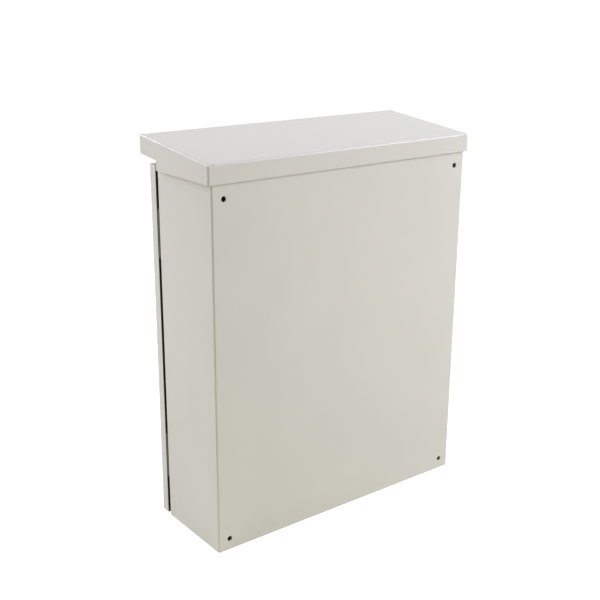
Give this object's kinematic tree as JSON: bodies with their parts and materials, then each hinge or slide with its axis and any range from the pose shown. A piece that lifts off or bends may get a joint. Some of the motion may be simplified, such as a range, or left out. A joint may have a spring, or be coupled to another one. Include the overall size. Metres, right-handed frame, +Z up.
{
  "type": "outdoor wall-mounted electrical enclosure",
  "caption": "Folded sheet-steel wall enclosure with a sloping rain hood, a sealed hinged door with a turning cam lock, and a mounting plate inside.",
  "frame": {"origin": "on the base, at the middle of the overall width and depth", "axes": "+X to the right seen from the door, -Y out of the door, +Y into the wall, +Z up"},
  "size_m": [0.4112, 0.1544, 0.5062],
  "materials": {
    "shell_paint": "smooth satin powder coat, warm light grey",
    "plate_zinc": "galvanised sheet with a faint spangle",
    "zinc_hardware": "bright zinc plating",
    "hinge_steel": "dull plated steel",
    "lock_chrome": "satin chrome on die-cast zinc",
    "black_rubber": "matt black rubber",
    "earth_brass": "dull brass"
  },
  "bodies": {
    "enclosure": {"body_wrap": "shell_paint", "top_panel": "shell_paint", "bottom_panel": "shell_paint", "rain_hood": "shell_paint", "hood_cleat_left": "shell_paint", "hood_cleat_right": "shell_paint", "mounting_plate": "plate_zinc", "entry_plate": "plate_zinc", "hood_bolts": "zinc_hardware", "hood_nuts": "zinc_hardware", "plate_studs": "zinc_hardware", "plate_spacers": "zinc_hardware", "plate_washers": "zinc_hardware", "plate_nuts": "zinc_hardware", "entry_studs": "zinc_hardware", "entry_nuts": "zinc_hardware", "body_leaf_upper": "hinge_steel", "body_leaf_lower": "hinge_steel", "hinge_pin_upper": "hinge_steel", "hinge_pin_lower": "hinge_steel", "hood_washers": "black_rubber", "entry_gasket": "black_rubber", "grommet_left": "black_rubber", "grommet_right": "black_rubber", "body_earth_stud": "earth_brass", "body_earth_washer": "earth_brass", "body_earth_nut": "earth_brass"},
    "door": {"door_panel": "shell_paint", "door_seal": "black_rubber", "door_leaf_upper": "hinge_steel", "door_leaf_lower": "hinge_steel", "lock_housing": "lock_chrome", "lock_gasket": "black_rubber", "lock_nut": "zinc_hardware", "door_earth_stud": "earth_brass", "door_earth_washer": "earth_brass", "door_earth_nut": "earth_brass"},
    "lock_rotor": {"lock_insert": "lock_chrome", "lock_cam": "zinc_hardware", "cam_washer": "zinc_hardware", "cam_screw": "zinc_hardware"}
  },
  "joints": [
    {"name": "door_swing", "type": "hinge", "parent": "enclosure", "child": "door", "pos_m": [0.1987, -0.0471, 0.23675], "axis": [0, 0, 1], "range_deg": [0, 110]},
    {"name": "lock_turn", "type": "hinge", "parent": "door", "child": "lock_rotor", "pos_m": [-0.1525, -0.0641, 0.23675], "axis": [0, 1, 0], "range_deg": [0, 90]}
  ]
}
